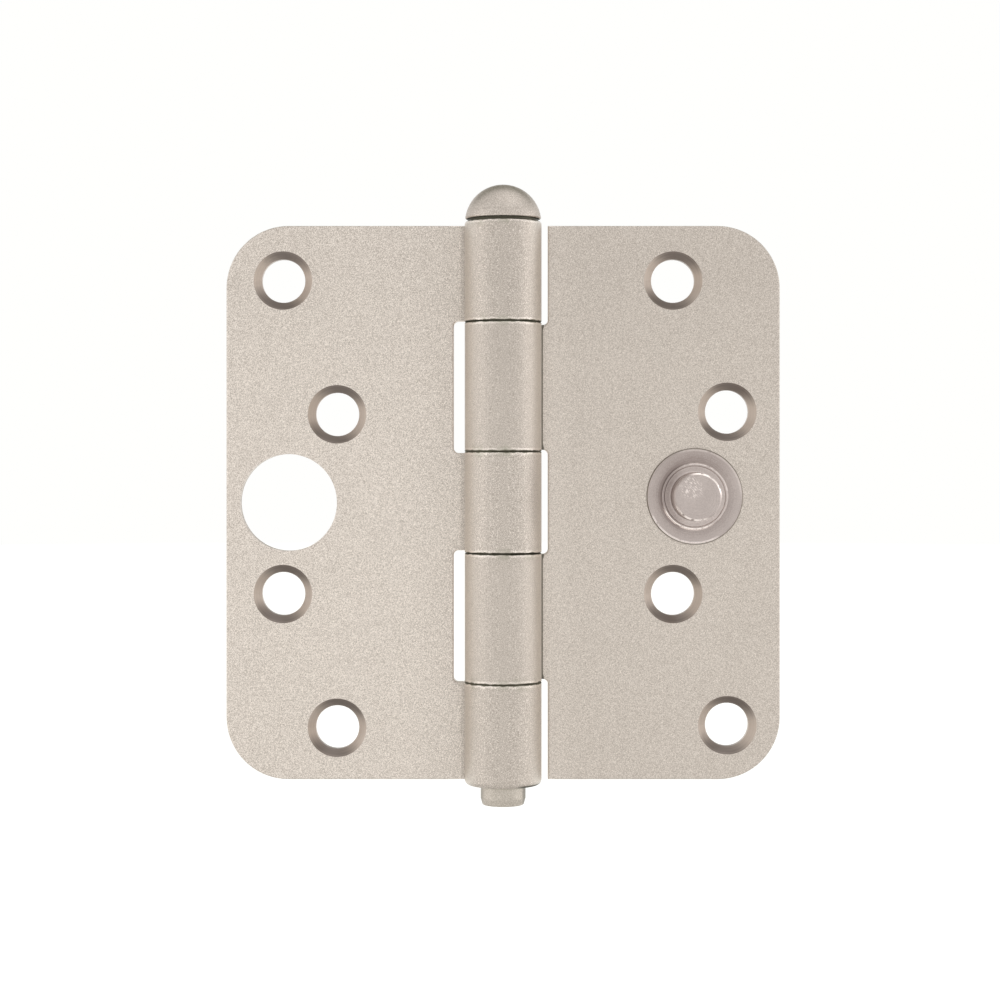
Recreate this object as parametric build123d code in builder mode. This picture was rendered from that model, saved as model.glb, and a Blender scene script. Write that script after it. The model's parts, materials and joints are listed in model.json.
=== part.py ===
"""Loose pin butt hinge with a security stud, lying open flat.

The origin is on the pin axis, at mid height of the leaves. +Z runs up the pin, +X towards
the leaf that carries the stud, and the countersinks face -Y. Lengths are in millimetres.
"""

import os
from math import sqrt

from build123d import *

# Leaves, each pressed and rolled from one sheet
leaf_height = 89.0
leaf_reach = 44.5  # pin axis to a leaf's outer edge
sheet = 2.5
outer_corner_r = 10.0
edge_break = 0.25  # edges softened by tumbling and plating
closed_gap = 3.0  # between the inner faces with the hinge shut

# Notches that the other leaf's knuckles turn in
left_notch_reach = 7.95  # pin axis to the notch's edge
right_notch_reach = 7.2
notch_relief = 0.25  # notches run past the joints
notch_corner_r = 0.8

# Knuckles
middle_knuckle = 16.15
middle_rise = 0.15  # its middle above mid height
side_knuckle = 20.6
rest_gap = 0.01  # under the right leaf's knuckles, which rest on the left leaf's
end_play = 0.1  # over them
barrel_over_leaf = 0.45  # top knuckle past the leaf's top edge
barrel_under_leaf = 0.55  # bottom knuckle past the leaf's bottom edge
crank_r = 1.75  # bend behind the barrel, from the leaf into the roll
seam_gap = 0.12  # rolled end to its own leaf
rolled_end_r = 0.3
joint_rim_r = 0.15
top_rim_r = 0.35
bottom_rim_r = 0.85

# Loose pin
pin_d = 7.2
pin_clearance = 0.05
pin_below = 3.2  # tip past the bottom knuckle
tip_taper = 0.3
tip_length = 1.1
tip_edge_r = 0.3
head_d = 12.2
head_height = 5.55
head_rim_r = 0.3
shoulder_d = 11.2  # raised seat under the head
shoulder_height = 0.35
seat_clearance = 0.05

# Screw holes, in two columns a leaf
screw_hole_d = 7.0
screw_sink_d = 9.4
screw_sink_angle = 90
screw_pitch = 50.4  # down a column
high_column_rise = 10.5  # middle of the column with the top hole, above mid height
left_column_drop = 11.0  # middle of the other column, below mid height
right_column_drop = 10.6
left_screw_inset = 9.1  # leaf's outer edge to the nearer column
right_screw_inset = 8.45
screw_column_step = 8.7

# Security stud, riveted through the right leaf
stud_inset = 13.7  # leaf's outer edge to the stud
stud_rise = 1.0  # above mid height
post_d = 7.6
post_past_leaf = 0.7  # post through the other leaf, hinge shut
post_chamfer = 0.25
post_root_r = 0.4
flange_d = 15.5
flange_height = 0.35
flange_chamfer = 0.15
flange_dish = 0.2
collar_height = 0.75
collar_width = 0.4
collar_rim_r = 0.2
groove_depth = 0.12  # between the post and the collar
groove_width = 1.05
shank_d = 9.0
shank_clearance = 0.02
rivet_sink = 0.8
rivet_recess = 0.05

# Hole in the left leaf that takes the stud
stud_hole_d = 15.6
swing_clearance = 0.15  # least room round the post, which stands at the hole's inner side

# Worked out from the sizes above
axis_offset = closed_gap / 2
bore_r = pin_d / 2 + pin_clearance
barrel_r = bore_r + sheet
leaf_top = leaf_height / 2
barrel_top = leaf_top + barrel_over_leaf
barrel_bottom = -leaf_top - barrel_under_leaf
middle_low = middle_rise - middle_knuckle / 2
middle_top = middle_rise + middle_knuckle / 2
low_joint = middle_low - end_play - side_knuckle - rest_gap
top_joint = middle_top + rest_gap + side_knuckle + end_play
crank_y = axis_offset + sheet + crank_r
crank_x = sqrt((barrel_r + crank_r) ** 2 - crank_y**2)
stud_reach = leaf_reach - stud_inset
post_height = closed_gap + sheet + post_past_leaf
groove_r = post_d / 2 + groove_width
collar_r = groove_r + groove_depth + collar_width
stud_play = stud_hole_d / 2 - post_d / 2 - swing_clearance  # post's centre to the hole's
stud_hole_reach = stud_reach + sqrt(stud_play**2 - stud_rise**2)

LEFT, RIGHT = -1, 1
left_rows = [(barrel_bottom, low_joint), (middle_low, middle_top), (top_joint, barrel_top)]
right_rows = [
    (low_joint + rest_gap, middle_low - end_play),
    (middle_top + rest_gap, top_joint - end_play),
]
left_notches = [(low_joint, middle_low), (middle_top, top_joint)]
right_notches = [
    (-leaf_top, right_rows[0][0]),
    (right_rows[0][1], right_rows[1][0]),
    (right_rows[1][1], leaf_top),
]

front = Plane(origin=(0, axis_offset, 0), x_dir=(1, 0, 0), z_dir=(0, -1, 0))
back = Plane(origin=(0, axis_offset + sheet, 0), x_dir=(-1, 0, 0), z_dir=(0, 1, 0))


def sheet_outline(side, notch_reach, notches):
    """Flat of one leaf, from its rounded outer corners to the start of the crank."""
    with BuildSketch(front) as outline:
        with Locations((side * (leaf_reach + crank_x) / 2, 0)):
            Rectangle(leaf_reach - crank_x, leaf_height)
        outer = outline.vertices().group_by(Axis.X)[0 if side == LEFT else -1]
        fillet(outer, outer_corner_r)
        for low, high in notches:
            with Locations((side * (notch_reach + crank_x) / 2, (low + high) / 2)):
                notch_height = high - low + 2 * notch_relief
                Rectangle(notch_reach - crank_x, notch_height, mode=Mode.SUBTRACT)
        at_notch = outline.vertices().filter_by(lambda v: abs(abs(v.X) - notch_reach) < 0.01)
        fillet(at_notch.filter_by(lambda v: abs(v.Y) < leaf_top - notch_corner_r), notch_corner_r)
    return outline.sketch


def rolled_section(side):
    """Open ring round the pin. Its end stops just short of its own leaf's inner face."""
    end_face = axis_offset - seam_gap
    bend_start = (side * crank_x, axis_offset)
    bend_end = Vector(side * crank_x, crank_y) * (bore_r / (barrel_r + crank_r))
    lip = (side * sqrt(bore_r**2 - end_face**2), end_face)
    outside = side * (barrel_r + sheet)
    with BuildSketch(Plane.XY.offset(barrel_bottom)) as ring:
        Circle(barrel_r)
        Circle(bore_r, mode=Mode.SUBTRACT)
        with BuildLine():
            RadiusArc(bend_start, bend_end, side * (crank_r + sheet))
            Polyline(bend_end, lip, (outside, end_face), (outside, axis_offset), bend_start)
        make_face(mode=Mode.SUBTRACT)
        rolled_end = ring.vertices().filter_by(lambda v: abs(v.Y - end_face) < 0.01)
        fillet(rolled_end.sort_by(Axis.X)[0 if side == LEFT else -1], rolled_end_r)
    return ring.sketch


def crank_section(side, low):
    """Bend that carries the sheet from the leaf's plane to behind the pin."""
    towards_crank = Vector(side * crank_x, crank_y) / (barrel_r + crank_r)
    inner, outer = towards_crank * bore_r, towards_crank * barrel_r
    with BuildSketch(Plane.XY.offset(low)) as bend:
        with BuildLine():
            Line((side * crank_x, crank_y - crank_r), (side * crank_x, axis_offset))
            RadiusArc((side * crank_x, axis_offset), inner, side * (crank_r + sheet))
            Line(inner, outer)
            RadiusArc(outer, (side * crank_x, crank_y - crank_r), -side * crank_r)
        make_face()
    return bend.sketch


def knuckle_walls(rows):
    """Half sections of a leaf's knuckles, with their outer rims rounded."""
    with BuildSketch(Plane.XZ) as walls:
        for low, high in rows:
            low_r = bottom_rim_r if low == barrel_bottom else joint_rim_r
            high_r = top_rim_r if high == barrel_top else joint_rim_r
            with BuildSketch(mode=Mode.PRIVATE) as wall:
                with Locations(((bore_r + barrel_r) / 2, (low + high) / 2)):
                    Rectangle(sheet, high - low)
                fillet(wall.vertices().group_by(Axis.X)[-1].sort_by(Axis.Y)[0], low_r)
                fillet(wall.vertices().sort_by(Axis.Y).group_by(Axis.X)[-1].sort_by(Axis.Y)[-1], high_r)
            add(wall.sketch)
    return walls.sketch


def rolled_knuckles(side, rows):
    """The knuckles of one leaf: one rolled section, cut to length and rounded at the rims."""
    with BuildPart() as knuckles:
        extrude(rolled_section(side), amount=barrel_top - barrel_bottom, dir=(0, 0, 1))
        revolve(knuckle_walls(rows), axis=Axis.Z, mode=Mode.INTERSECT)
        for low, high in rows:
            low, high = max(low + notch_relief, -leaf_top), min(high - notch_relief, leaf_top)
            extrude(crank_section(side, low), amount=high - low, dir=(0, 0, 1))
    return knuckles.part


def screw_places(side, inset, drop):
    """Screw holes zigzag down the leaf, between an outer and an inner column."""
    outer = side * (leaf_reach - inset)
    inner = side * (leaf_reach - inset - screw_column_step)
    high_column, low_column = (outer, inner) if side == LEFT else (inner, outer)
    places = []
    for half_pitch in (screw_pitch / 2, -screw_pitch / 2):
        places += [(high_column, high_column_rise + half_pitch), (low_column, half_pitch - drop)]
    return places


def soft_edges(leaf, side):
    """Edges round the flat, front and back, without the edge that runs into the knuckles."""
    faces = leaf.faces().filter_by(Axis.Y)
    return faces.edges().filter_by(lambda e: abs(e.center().X - side * crank_x) > 0.01)


# Left leaf: three knuckles and the hole that the stud enters
left_knuckles = rolled_knuckles(LEFT, left_rows)
with BuildPart() as left_leaf:
    extrude(sheet_outline(LEFT, left_notch_reach, left_notches), amount=-sheet)
    fillet(soft_edges(left_leaf, LEFT), edge_break)
    add(left_knuckles)
    with Locations(front):
        with Locations(*screw_places(LEFT, left_screw_inset, left_column_drop)):
            CounterSinkHole(screw_hole_d / 2, screw_sink_d / 2, 2 * sheet, screw_sink_angle)
        with Locations((-stud_hole_reach, 0)):
            Hole(stud_hole_d / 2, 2 * sheet)
left_leaf.part.label = "left_leaf"

# Right leaf: two knuckles and the stud's riveted seat
right_knuckles = rolled_knuckles(RIGHT, right_rows)
with BuildPart() as right_leaf:
    extrude(sheet_outline(RIGHT, right_notch_reach, right_notches), amount=-sheet)
    fillet(soft_edges(right_leaf, RIGHT), edge_break)
    add(right_knuckles)
    with Locations(front):
        with Locations(*screw_places(RIGHT, right_screw_inset, right_column_drop)):
            CounterSinkHole(screw_hole_d / 2, screw_sink_d / 2, 2 * sheet, screw_sink_angle)
    with Locations(back):
        with Locations((-stud_reach, stud_rise)):
            seat_r = shank_d / 2 + shank_clearance
            CounterSinkHole(seat_r, seat_r + rivet_sink, 2 * sheet, 90)
right_leaf.part.label = "right_leaf"

# Loose pin: domed head, shank through all five knuckles and a tapered tip
with BuildPart() as loose_pin:
    seat_z = barrel_top + seat_clearance
    head_z = seat_z + shoulder_height
    tip_z = barrel_bottom - pin_below
    with BuildSketch(Plane.XZ) as half_pin:
        with BuildLine():
            Polyline(
                (0, head_z + head_height),
                (0, tip_z),
                (pin_d / 2 - tip_taper, tip_z),
                (pin_d / 2, tip_z + tip_length),
                (pin_d / 2, seat_z),
                (shoulder_d / 2, seat_z),
                (shoulder_d / 2, head_z),
                (head_d / 2, head_z),
            )
            TangentArc((0, head_z + head_height), (head_d / 2, head_z), tangent=(1, 0))
        make_face()
        fillet(half_pin.vertices().group_by(Axis.Y)[0].sort_by(Axis.X)[-1], tip_edge_r)
        fillet(half_pin.vertices().sort_by(Axis.X)[-1], head_rim_r)
    revolve(axis=Axis.Z)
loose_pin.part.label = "loose_pin"

# Security stud: post, collar and dished flange on the inner face, riveted flush at the back
stud_plane = Plane(origin=(stud_reach, axis_offset, stud_rise), x_dir=(1, 0, 0), z_dir=(0, 0, -1))
with BuildPart() as security_stud:
    rivet_z = rivet_recess - sheet
    collar_foot = flange_height - flange_dish
    groove_z = collar_height - groove_depth
    with BuildSketch(stud_plane) as half_stud:
        with BuildLine():
            Polyline(
                (0, rivet_z),
                (shank_d / 2 + rivet_sink - rivet_recess, rivet_z),
                (shank_d / 2, rivet_sink - sheet),
                (shank_d / 2, 0),
                (flange_d / 2, 0),
                (flange_d / 2, flange_height - flange_chamfer),
                (flange_d / 2 - flange_chamfer, flange_height),
                (collar_r, collar_foot),
                (collar_r, collar_height),
                (collar_r - collar_width, collar_height),
                (groove_r, groove_z),
                (post_d / 2, groove_z),
                (post_d / 2, post_height - post_chamfer),
                (post_d / 2 - post_chamfer, post_height),
                (0, post_height),
                close=True,
            )
        make_face()
        rim = half_stud.vertices().filter_by(lambda v: abs(v.Y - collar_height) < 0.01)
        fillet(rim.sort_by(Axis.X)[-1], collar_rim_r)
        root = half_stud.vertices().filter_by(lambda v: abs(v.Y - groove_z) < 0.01)
        fillet(root.sort_by(Axis.X)[0], post_root_r)
    revolve(axis=Axis(stud_plane.origin, (0, 1, 0)))
security_stud.part.label = "security_stud"

os.makedirs("parts", exist_ok=True)
export_step(left_leaf.part, "parts/left_leaf.step")
export_step(right_leaf.part, "parts/right_leaf.step")
export_step(loose_pin.part, "parts/loose_pin.step")
export_step(security_stud.part, "parts/security_stud.step")
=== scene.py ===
import json
from functools import reduce
from math import pi

import bpy
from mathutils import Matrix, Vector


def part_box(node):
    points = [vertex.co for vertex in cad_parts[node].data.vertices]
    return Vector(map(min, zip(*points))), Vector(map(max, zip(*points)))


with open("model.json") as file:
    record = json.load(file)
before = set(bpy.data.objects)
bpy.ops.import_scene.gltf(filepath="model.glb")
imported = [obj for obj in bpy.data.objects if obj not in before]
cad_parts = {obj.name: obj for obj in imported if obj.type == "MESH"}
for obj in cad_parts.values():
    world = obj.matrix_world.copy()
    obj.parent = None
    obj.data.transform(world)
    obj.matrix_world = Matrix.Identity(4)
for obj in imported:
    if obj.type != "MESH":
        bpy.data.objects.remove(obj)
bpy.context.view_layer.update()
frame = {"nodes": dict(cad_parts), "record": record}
nodes = frame["nodes"]

# Camera, straight in front of the open hinge and level with the joint above its middle knuckle.
# The hinge fills just over half of a square picture, as on a catalogue page.
picture_px = 1000
px_per_m = 6220  # on the leaves' inner faces
sensor_mm = 36.0
leaf_face_y = 0.0015
eye_distance = 0.36
eye_x, eye_z = -0.0001, 0.0072
picture_x, picture_z = -0.0005, 0.00042  # the picture's centre
picture_side = picture_px / px_per_m
bpy.ops.object.camera_add(
    location=(eye_x, leaf_face_y - eye_distance, eye_z), rotation=(pi / 2, 0, 0)
)
camera = bpy.context.object
camera.name = "camera"
camera.data.sensor_width = sensor_mm
camera.data.lens = sensor_mm * eye_distance / picture_side
camera.data.shift_x = (picture_x - eye_x) / picture_side
camera.data.shift_y = (picture_z - eye_z) / picture_side
bpy.context.scene.camera = camera


# Leaves, each blanked, pierced, countersunk and rolled from one zinc coated sheet. Tumbling
# left a fine grain with small pits. Oil and darker smudges sit by the joints. Painted shade
# darkens the joints, the seams, the countersinks' tops and bottoms and the barrel's foot, and
# painted light brightens the barrel's sides, the notch edges and the rubbed rims by the joints.
class Pattern:
    """An output of a finish's nodes. Sums and products of patterns add Math nodes."""

    def __init__(self, tree, kind, settings=None, inputs=None, output=0):
        """Adds a node, makes its settings, then fills or links its inputs."""
        node = tree.nodes.new("ShaderNode" + kind)
        for name, value in (settings or {}).items():
            setattr(node, name, value)
        for name, value in (inputs or {}).items():
            if isinstance(value, Pattern):
                tree.links.new(value.socket, node.inputs[name])
            else:
                node.inputs[name].default_value = value
        self.tree, self.node = tree, node
        self.socket = node.outputs[output] if node.outputs else None

    def math(self, operation, *others):
        inputs = dict(enumerate((self, *others)))
        return Pattern(self.tree, "Math", {"operation": operation}, inputs)

    def __add__(self, other):
        return self.math("ADD", other)

    def __sub__(self, other):
        return self.math("SUBTRACT", other)

    def __rsub__(self, other):
        return self * -1 + other

    def __mul__(self, other):
        return self.math("MULTIPLY", other)

    __radd__, __rmul__ = __add__, __mul__

    def distance(self, value):
        """How far it is from a value, either way."""
        return (self - value).math("ABSOLUTE")

    def fade(self, start, end):
        """0 up to start, 1 from end on and smooth between. Start may be the larger."""
        rises = start < end
        ends = {"From Min": min(start, end), "From Max": max(start, end)}
        ends |= {"To Min": 1 - rises, "To Max": rises}
        return Pattern(
            self.tree, "MapRange", {"interpolation_type": "SMOOTHSTEP"}, {"Value": self} | ends
        )


def empty_tree(block):
    """The node tree of a new material or world, with nothing in it."""
    block.use_nodes = True
    block.node_tree.nodes.clear()
    return block.node_tree


def metal_finish(name):
    """A new material, its metal shader and the place on its piece."""
    material = bpy.data.materials.new(name)
    tree = empty_tree(material)
    metal = Pattern(tree, "BsdfPrincipled", None, {"Metallic": 1.0})
    Pattern(tree, "OutputMaterial", None, {"Surface": metal})
    return material, metal, Pattern(tree, "TexCoord", output="Object")


def finish_with(metal, colour, roughness, relief_um):
    """Links a finish's colour, roughness and relief to its metal shader."""
    bump = Pattern(metal.tree, "Bump", None, {"Height": relief_um, "Distance": 1e-6})
    for name, pattern in (("Base Color", colour), ("Roughness", roughness), ("Normal", bump)):
        metal.tree.links.new(pattern.socket, metal.node.inputs[name])


def vector_math(operation, first, second, output=0):
    """A place changed by another vector."""
    settings = {"operation": operation}
    return Pattern(first.tree, "VectorMath", settings, {0: first, 1: second}, output)


def stretched(place, scale):
    """The place with each axis scaled, for streaks and for distances along some axes."""
    return vector_math("MULTIPLY", place, scale)


def reach(place, centre, axes):
    """Distance from a centre, along the axes that are 1."""
    offset = stretched(vector_math("SUBTRACT", place, centre), axes)
    return Pattern(place.tree, "VectorMath", {"operation": "LENGTH"}, {0: offset}, "Value")


def part_of(vector, axis):
    """One coordinate of a vector."""
    return Pattern(vector.tree, "SeparateXYZ", None, {0: vector}, axis)


def least(patterns):
    """The smallest of several patterns at each place."""
    return reduce(lambda first, second: first.math("MINIMUM", second), patterns)


def noise(place, per_metre, detail=2.0):
    """Soft noise about 0.5."""
    inputs = {"Vector": place, "Scale": per_metre, "Detail": detail}
    return Pattern(place.tree, "TexNoise", None, inputs)


def rings(radius, per_metre):
    """Fine random rings, as a turning tool leaves them."""
    inputs = {"W": radius, "Scale": per_metre, "Detail": 2.0}
    return Pattern(radius.tree, "TexNoise", {"noise_dimensions": "1D"}, inputs)


def blend(amount, first, second):
    """From the first colour to the second as the amount goes from 0 to 1."""
    inputs = {0: amount, 6: first, 7: second}
    return Pattern(amount.tree, "Mix", {"data_type": "RGBA"}, inputs, 2)


mm = 0.001
round_pin, on_sheet = (1, 1, 0), (1, 0, 1)  # axes for a distance
speckle_per_m, mottle_per_m, cloud_per_m = 7500, 1700, 120
pits_per_m, glints_per_m, turning_per_m = 3600, 4200, 5000

barrel_r = 6.15 * mm
barrel_foot = -45.05 * mm
joints = (-28.63 * mm, -7.975 * mm, 8.23 * mm, 28.885 * mm)  # between the knuckles
under_head = 45.15 * mm
head_line = 0.1 * mm  # the line under the head is wider than a joint by this, each way
sink_r = 4.7 * mm
torn_y = 2.7 * mm  # sheared edges are torn from here to the back

zinc_dark, zinc_light = (0.40, 0.352, 0.312, 1), (0.86, 0.785, 0.72, 1)
# A lighter colour painted on the barrel's sides as light
painted_side_light = (0.75, 0.715, 0.658, 1)
# Cut zinc in the countersinks, and a darker colour for their turning marks and painted shade
cut_zinc, cut_marks_and_shade = (0.56, 0.485, 0.43, 1), (0.235, 0.20, 0.18, 1)
# Colours of painted shade: in seams, joints and under the head, at the barrel's foot, on the tip
# and the stud's rim
painted_shade_colour, thin_painted_shade_colour = (0.075, 0.07, 0.052, 1), (0.15, 0.14, 0.105, 1)
# Oil, also used for painted shade just under the barrel's foot
oil = (0.33, 0.315, 0.25, 1)
barrel_tone = 0.25
painted_shade_axis = (0.25, 0, 0.97)  # painted shade lies along it, at the top and bottom of each countersink
zinc_roughness = 0.46


def screw_holes(side):
    """The middles of a leaf's screw holes, two for each of its two bolt patterns."""
    middles = []
    for mount in frame["record"]["mounts"]:
        if mount["name"].startswith(side + "_screws"):
            x, _, z = mount["pos_m"]
            half_pitch = mount["dims"]["spacing_y_mm"] / 2 * mm
            middles += [(x, 0, z + half_pitch), (x, 0, z - half_pitch)]
    return middles


def sheet_grain(place, tone, grain):
    """How light tumbled zinc is, how rough and how high. Grain is how strong its speckle is."""
    speckle = noise(place, speckle_per_m, 1.0) - 0.5
    mottle = noise(place, mottle_per_m) - 0.5
    cloud = noise(place, cloud_per_m, 3.0) - 0.5
    pits = noise(place, pits_per_m, 1.0).fade(0.36, 0.24)
    glints = noise(stretched(place, (1, 1, -1)), glints_per_m, 1.0).fade(0.64, 0.78)
    lightness = speckle * (2.5 * grain) + mottle * (0.14 * grain) + cloud * 0.11 + tone
    lightness = lightness + glints * (0.35 * grain) - pits * (0.3 * grain)
    height = part_of(place, "Z")
    # Painted shade, darker towards the top and towards the foot
    painted_top_shade, painted_low_shade = height.fade(10 * mm, 42 * mm), height.fade(-12 * mm, -42 * mm)
    lightness = lightness - painted_top_shade * 0.05 - painted_low_shade * 0.03
    roughness = mottle * 0.12 + cloud * 0.1 + zinc_roughness
    return lightness, roughness, speckle * 5.0 + mottle * 3.0 - pits * 4.0


def joint_marks(place, barrel):
    """The distance to the nearest joint, its rims rubbed and painted lighter as a highlight,
    the painted shade in it and the oil and smudges by it.
    """
    across, through, height = (part_of(place, axis) for axis in "XYZ")
    to_head = height.distance(under_head) - head_line
    to_joint = least([to_head, *(height.distance(joint) for joint in joints)])
    ragged = to_joint + (noise(place, 1100) - 0.5) * 0.4 * mm
    # Rims rubbed and painted lighter as a highlight; the joint itself painted dark as shade
    rub_and_highlight, joint_painted_shade = ragged.fade(0.62 * mm, 0.42 * mm), ragged.fade(0.26 * mm, 0.14 * mm)
    seep = noise(stretched(place, (1, 1, 0.4)), 420).fade(0.5, 0.72)
    seep = seep * to_joint.fade(1.6 * mm, 0.2 * mm)
    # Darker smudges on the front middle of each joint
    smudge = through.fade(0, -4 * mm) * across.math("ABSOLUTE").fade(1.3 * mm, 0.5 * mm)
    smudge = smudge * to_joint.fade(1.1 * mm, 0.3 * mm)
    return to_joint, barrel * rub_and_highlight, barrel * joint_painted_shade, barrel * (seep * 0.5 + smudge * 0.45)


def painted_line_shade(place, barrel, to_joint, seam):
    """Painted shade along a leaf's seam, where it is wider by the joints, and under the barrel's
    foot.
    """
    seam_place, seam_width, seam_share = seam
    wider = to_joint.fade(1.3 * mm, 0.4 * mm) * 0.2 * mm
    from_seam = reach(place, seam_place, round_pin) - wider
    seam_painted_shade = from_seam.fade(seam_width, 0.4 * seam_width) * seam_share
    under_foot = part_of(place, "Z").fade(barrel_foot + 0.5 * mm, barrel_foot + 0.25 * mm)
    barrel_foot_shade = barrel * under_foot * part_of(place, "X").fade(1.5 * mm, 3.5 * mm)
    return seam_painted_shade.math("MAXIMUM", barrel_foot_shade)


def screw_sinks(place, middles):
    """The countersinks, painted shade in the top and bottom of each, and their turning marks."""
    from_holes, sinks, shade_spots = [], [], []
    for middle in middles:
        from_hole = reach(place, middle, on_sheet)
        sink = from_hole.fade(sink_r + 0.05 * mm, sink_r - 0.05 * mm)
        offset = vector_math("SUBTRACT", place, middle)
        along_line = vector_math("DOT_PRODUCT", offset, painted_shade_axis, "Value").math("ABSOLUTE")
        from_holes.append(from_hole)
        sinks.append(sink)
        shade_spots.append(sink * along_line.fade(1.3 * mm, 4.3 * mm))
    return sum(sinks), sum(shade_spots), rings(least(from_holes), turning_per_m) - 0.5


def sheared_edges(place, flat):
    """Streaks across the sheet's edges, where the metal tore at the back, and painted light
    on the notches' edges by the barrel.
    """
    facing = part_of(Pattern(place.tree, "TexCoord", output="Normal"), "Y").math("ABSOLUTE")
    streaks = noise(stretched(place, (6000, 250, 6000)), 1.0) - 0.5
    sheared = facing.fade(0.6, 0.35) * flat
    tear = part_of(place, "Y") + streaks * 0.8 * mm
    by_notch = part_of(place, "X").math("ABSOLUTE").fade(8.6 * mm, 7.6 * mm)
    notch_painted_light = facing.fade(0.97, 0.85) * by_notch * flat
    return sheared * streaks, sheared * tear.fade(torn_y, torn_y + 0.3 * mm), notch_painted_light


def sheet_finish(name, side, tone, grain, shading_by_barrel, seam):
    """Zinc on sheet steel. Tone lightens it, and grain is how strong its speckle is. Beside
    the barrel stand two distances and a painted shift of light, and seam is the place,
    width and share of painted shade along the seam."""
    material, metal, place = metal_finish(name)
    lightness, roughness, relief = sheet_grain(place, tone, grain)
    aside = part_of(place, "X").math("ABSOLUTE")
    barrel = reach(place, (0, 0, 0), round_pin).fade(barrel_r + 0.2 * mm, barrel_r + 0.1 * mm)
    # The barrel takes its own tone and is painted lighter towards its sides, as light falling
    # there
    barrel_change = aside.fade(3.8 * mm, 6 * mm) * 0.14 + (barrel_tone - tone)
    barrel_sides_lit = barrel * aside.fade(3.9 * mm, 5.8 * mm)
    far, near, change = shading_by_barrel
    # Beside the barrel the left leaf is painted darker as shade and the right one lighter as
    # light
    lightness = lightness + barrel * barrel_change + (1 - barrel) * aside.fade(far, near) * change

    to_joint, rub_and_highlight, joint_painted_shade, joint_oil_and_smudge = joint_marks(place, barrel)
    sink, sink_painted_shade, turned = screw_sinks(place, screw_holes(side))
    streaks, torn, notch_painted_light = sheared_edges(place, (1 - barrel) * (1 - sink))
    lightness = lightness + rub_and_highlight * 0.38 + streaks * 0.7 - torn * 0.22 + notch_painted_light * 0.5

    colour = blend(lightness, zinc_dark, zinc_light)
    colour = blend(barrel_sides_lit * 0.45, colour, painted_side_light)
    colour = blend(sink, colour, blend(sink_painted_shade + turned * 0.8, cut_zinc, cut_marks_and_shade))
    colour = blend(joint_oil_and_smudge, colour, oil)
    colour = blend(painted_line_shade(place, barrel, to_joint, seam), colour, painted_shade_colour)
    colour = blend(joint_painted_shade, colour, thin_painted_shade_colour)
    roughness = roughness + torn * 0.12 - rub_and_highlight * 0.08 - sink * 0.08
    roughness = roughness + sink * turned * 0.15 + joint_painted_shade * 0.2
    relief = relief * (1 - sink) + sink * turned * 4.0 + streaks * 9.0
    finish_with(metal, colour, roughness, relief)
    return material


# Painted shade along each seam beside the barrel: its place, width and share
left_seam_shade = (-6.42 * mm, leaf_face_y, 0), 0.5 * mm, 0.14
right_seam_shade = (6.22 * mm, leaf_face_y, 0), 0.24 * mm, 0.85
# Painted shade beside the barrel on the left leaf, painted light on the right leaf
shade_by_left_barrel, light_by_right_barrel = (17 * mm, 8 * mm, -0.08), (12.5 * mm, 7 * mm, 0.09)
left_zinc = sheet_finish("zinc_left", "left", 0.54, 1.0, shade_by_left_barrel, left_seam_shade)
right_zinc = sheet_finish("zinc_right", "right", 0.37, 0.7, light_by_right_barrel, right_seam_shade)
nodes["left_leaf"].material_slots[0].material = left_zinc
nodes["right_leaf"].material_slots[0].material = right_zinc


# Loose pin, turned from bar and zinc coated as the leaves are. Fine turning marks show on
# its domed head and its tapered tip. Painted shade darkens the line under the head and both
# sides of the tip, and the tip's oil is painted darker as shade just under the barrel's foot.
def turned_finish(name, tone, grain, centre, axes, roughness):
    """Turned steel whose marks run round a centre line. Gives its parts, still unlinked, and
    the distance from that line."""
    material, metal, place = metal_finish(name)
    speckle = noise(place, speckle_per_m, 1.0) - 0.5
    cloud = noise(place, 300, 3.0) - 0.5
    from_centre = reach(place, centre, axes)
    marks = rings(from_centre, 9000) - 0.5
    lightness = speckle * grain + cloud * 0.2 + marks * 0.25 + tone
    rough = cloud * 0.15 + marks * 0.1 + roughness
    relief = speckle * 3.0 * grain + marks * 2.5
    return material, metal, place, lightness, rough, relief, from_centre


tip_r = 3.6 * mm
pin_parts = turned_finish("zinc_pin", 0.30, 1.8, (0, 0, 0), round_pin, 0.44)
pin_zinc, metal, place, lightness, rough, relief, _ = pin_parts
height, across = part_of(place, "Z"), part_of(place, "X")
# Painted shade in the line under the head
head_line_shade = height.distance(under_head).fade(0.28 * mm, 0.22 * mm)
tip = height.fade(barrel_foot + 0.15 * mm, barrel_foot - 0.05 * mm)
oil_and_shade_below_foot = height.fade(barrel_foot - 0.55 * mm, barrel_foot - 0.15 * mm)
right_side = across.fade(tip_r - 0.7 * mm, tip_r - 0.2 * mm)
left_side = across.fade(0.6 * mm - tip_r, 0.2 * mm - tip_r)
colour = blend(lightness, zinc_dark, zinc_light)
# Oil on the tip, thickest and painted darker as shade just under the barrel's foot
colour = blend(tip * (oil_and_shade_below_foot * 0.6 + 0.22), colour, oil)
# Painted shade down both sides of the tip
colour = blend(tip * (right_side * 0.55 + left_side * 0.35), colour, painted_shade_colour)
finish_with(metal, blend(head_line_shade, colour, painted_shade_colour), rough, relief)
nodes["loose_pin"].material_slots[0].material = pin_zinc

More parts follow.
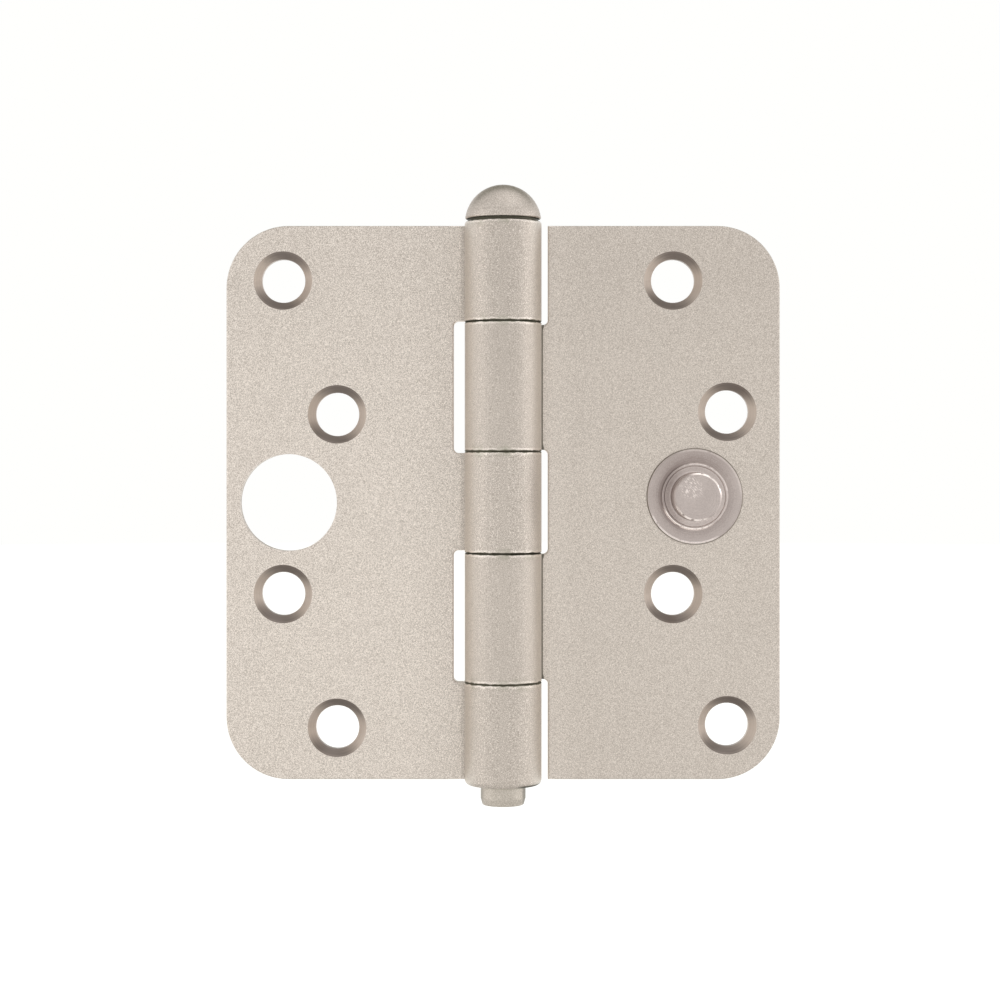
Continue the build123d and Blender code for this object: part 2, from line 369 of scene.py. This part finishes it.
# Security stud, turned from a pinker steel and left bare, then riveted through the right leaf.
# Its edges are polished by use and painted lighter as glints at the lower left and upper
# right, and handling has scratched the end of its post.
low_corner, high_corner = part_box("security_stud")
stud_x, _, stud_z = (low_corner + high_corner) / 2
post_end_y = low_corner.y
flange_r = (high_corner.x - low_corner.x) / 2
post_r, collar_r = 3.8 * mm, 5.37 * mm
groove_middle_r = 4.6 * mm
stud_dark, stud_light = (0.30, 0.25, 0.235, 1), (0.92, 0.83, 0.79, 1)
stud_centre = (stud_x, 0, stud_z)
stud_parts = turned_finish("bare_stud", 0.27, 0.35, stud_centre, on_sheet, 0.36)
stud_steel, metal, place, lightness, rough, relief, from_centre = stud_parts
across, depth, height = (part_of(place, axis) for axis in "XYZ")
rightward, upward = across - stud_x, height - stud_z

# Edges polished by use and painted lighter as glints at the lower left and the upper right
patchy = noise(place, 900).fade(0.32, 0.46)
low, high = rightward * -0.35 - upward, rightward * 0.7 + upward
wear_and_glints = 0
for edge_r, glint_from, share, high_share in (
    (post_r - 0.12 * mm, 2.2 * mm, 1.0, 1.0),
    (collar_r - 0.08 * mm, 3.0 * mm, 0.9, 0.4),
    (flange_r - 0.3 * mm, 4.6 * mm, 0.6, 0.4),
):
    edge = from_centre.distance(edge_r).fade(0.2 * mm, 0.1 * mm) * share
    low_wear_glint = low.fade(glint_from, glint_from + 1.4 * mm)
    high_wear_glint = high.fade(glint_from, glint_from + 1.8 * mm) * high_share
    wear_and_glints = edge * (low_wear_glint + high_wear_glint) + wear_and_glints
post_side = from_centre.distance(post_r).fade(0.05 * mm, 0.02 * mm)
post_wall = post_side * depth.fade(post_end_y + 0.3 * mm, post_end_y + 0.4 * mm)
wear_and_glints = wear_and_glints * patchy * (1 - post_wall)

# Painted shade in the groove round the post, most on its left, and on the flange beside
# the collar and towards its top; painted light in the groove's right side
leftward = rightward.fade(-1 * mm, -4 * mm)
in_groove = from_centre.distance(groove_middle_r).fade(1.0 * mm, 0.7 * mm)
in_groove = in_groove * depth.fade(-4 * mm, -2 * mm)
on_flange = from_centre.fade(collar_r, collar_r + 0.1 * mm)
flange_shade = from_centre.fade(6.2 * mm, 5.5 * mm) * leftward * 0.2
flange_shade = flange_shade + from_centre.fade(7.2 * mm, 5.6 * mm) * 0.1
flange_shade = flange_shade + upward.fade(2 * mm, 6 * mm) * 0.12

# Scratches across the end of the post
all_round = (1, 1, 1)
scratch_spot = (stud_x - 1.0 * mm, post_end_y, stud_z + 1.4 * mm)
turn = {"Vector": place, "Center": scratch_spot, "Angle": -0.8}
slanted = Pattern(place.tree, "VectorRotate", {"rotation_type": "Y_AXIS"}, turn)
scratches = noise(stretched(slanted, (1500, 0, 7500)), 1.0, 1.0).fade(0.54, 0.62)
scratches = scratches * reach(place, scratch_spot, all_round).fade(2.3 * mm, 1.0 * mm)

lightness = lightness + wear_and_glints * 0.8 + scratches * 0.5 - on_flange * flange_shade
# Painted shade and light in the groove, and painted light on the post's wall
lightness = lightness + in_groove * (0.09 - leftward * 0.26) + post_wall * 0.25
# Painted shade in a thin dark line round the flange's rim
rim_painted_shade = from_centre.fade(flange_r - 0.2 * mm, flange_r - 0.1 * mm)
colour = blend(lightness, stud_dark, stud_light)
colour = blend(rim_painted_shade * 0.65, colour, thin_painted_shade_colour)
finish_with(metal, colour, rough - wear_and_glints * 0.2, relief + scratches * 3.0)
nodes["security_stud"].material_slots[0].material = stud_steel

# Studio: a white room with a pale floor well below the hinge. Metal shows the room dim high
# behind it. A soft lamp stands at each side, one hangs above and one lights the floor.
def rays(tree, kind):
    """1 for rays of one kind: Camera, Glossy, Transmission or Diffuse."""
    return Pattern(tree, "LightPath", output=f"Is {kind} Ray")


floor_z, floor_r = -0.12, 3.0
dull_r, bright_r = 0.12, 0.22  # the floor glows more and more from one to the other
floor_glow = 0.3
bpy.ops.mesh.primitive_circle_add(
    vertices=96, radius=floor_r, fill_type="NGON", location=(0, 0, floor_z)
)
floor = bpy.context.object
floor.name = "floor"
white, black, dim = (1, 1, 0.985, 1), (0, 0, 0, 1), (0.09, 0.10, 0.04, 1)
paper = bpy.data.materials.new("white_floor")
tree = empty_tree(paper)
matt = Pattern(tree, "BsdfDiffuse", None, {"Color": (0.8, 0.8, 0.788, 1)})
from_middle = reach(Pattern(tree, "TexCoord", output="Object"), (0, 0, 0), round_pin)
seen = rays(tree, "Camera") + rays(tree, "Glossy") + rays(tree, "Transmission")
glow = blend(seen * (from_middle.fade(dull_r, bright_r) * floor_glow), black, white)
glowing = Pattern(tree, "Emission", None, {"Color": glow})
both = Pattern(tree, "AddShader", None, {0: matt, 1: glowing})
Pattern(tree, "OutputMaterial", None, {"Surface": both})
floor.data.materials.append(paper)

room = bpy.data.worlds.new("room")
tree = empty_tree(room)
bpy.context.scene.world = room
direction = Pattern(tree, "TexCoord", output="Generated")
up, away = part_of(direction, "Z"), part_of(direction, "Y")
high_behind = away.fade(0.25, 0.6) * up.fade(0.38, 0.68)
seen = rays(tree, "Camera") + rays(tree, "Transmission") + rays(tree, "Diffuse")
seen = seen + rays(tree, "Glossy") * (1 - high_behind)
sky = Pattern(tree, "Background", None, {"Color": blend(seen, dim, white)})
Pattern(tree, "OutputWorld", None, {"Surface": sky})


def soft_lamp(name, place, side, radiance, in_metal=True):
    """A square lamp that faces the hinge. Metal may show it or not."""
    bpy.ops.object.light_add(type="AREA", location=place)
    lamp = bpy.context.object
    lamp.name = name
    lamp.data.shape = "SQUARE"
    lamp.data.size = side
    lamp.data.energy = radiance * pi * side**2
    lamp.rotation_euler = lamp.location.to_track_quat("Z", "Y").to_euler()
    lamp.visible_camera = False
    lamp.visible_glossy = in_metal


soft_lamp("lamp_left", (-0.75, -0.2, 0.05), 0.6, 0.5)
soft_lamp("lamp_right", (0.75, -0.05, 0.05), 0.6, 0.8)
soft_lamp("lamp_above", (0.15, -0.1, 0.6), 0.5, 0.35)
soft_lamp("lamp_on_floor", (-0.35, -0.45, 0.6), 0.25, 8.0, in_metal=False)

bpy.context.scene.view_settings.view_transform = "Standard"
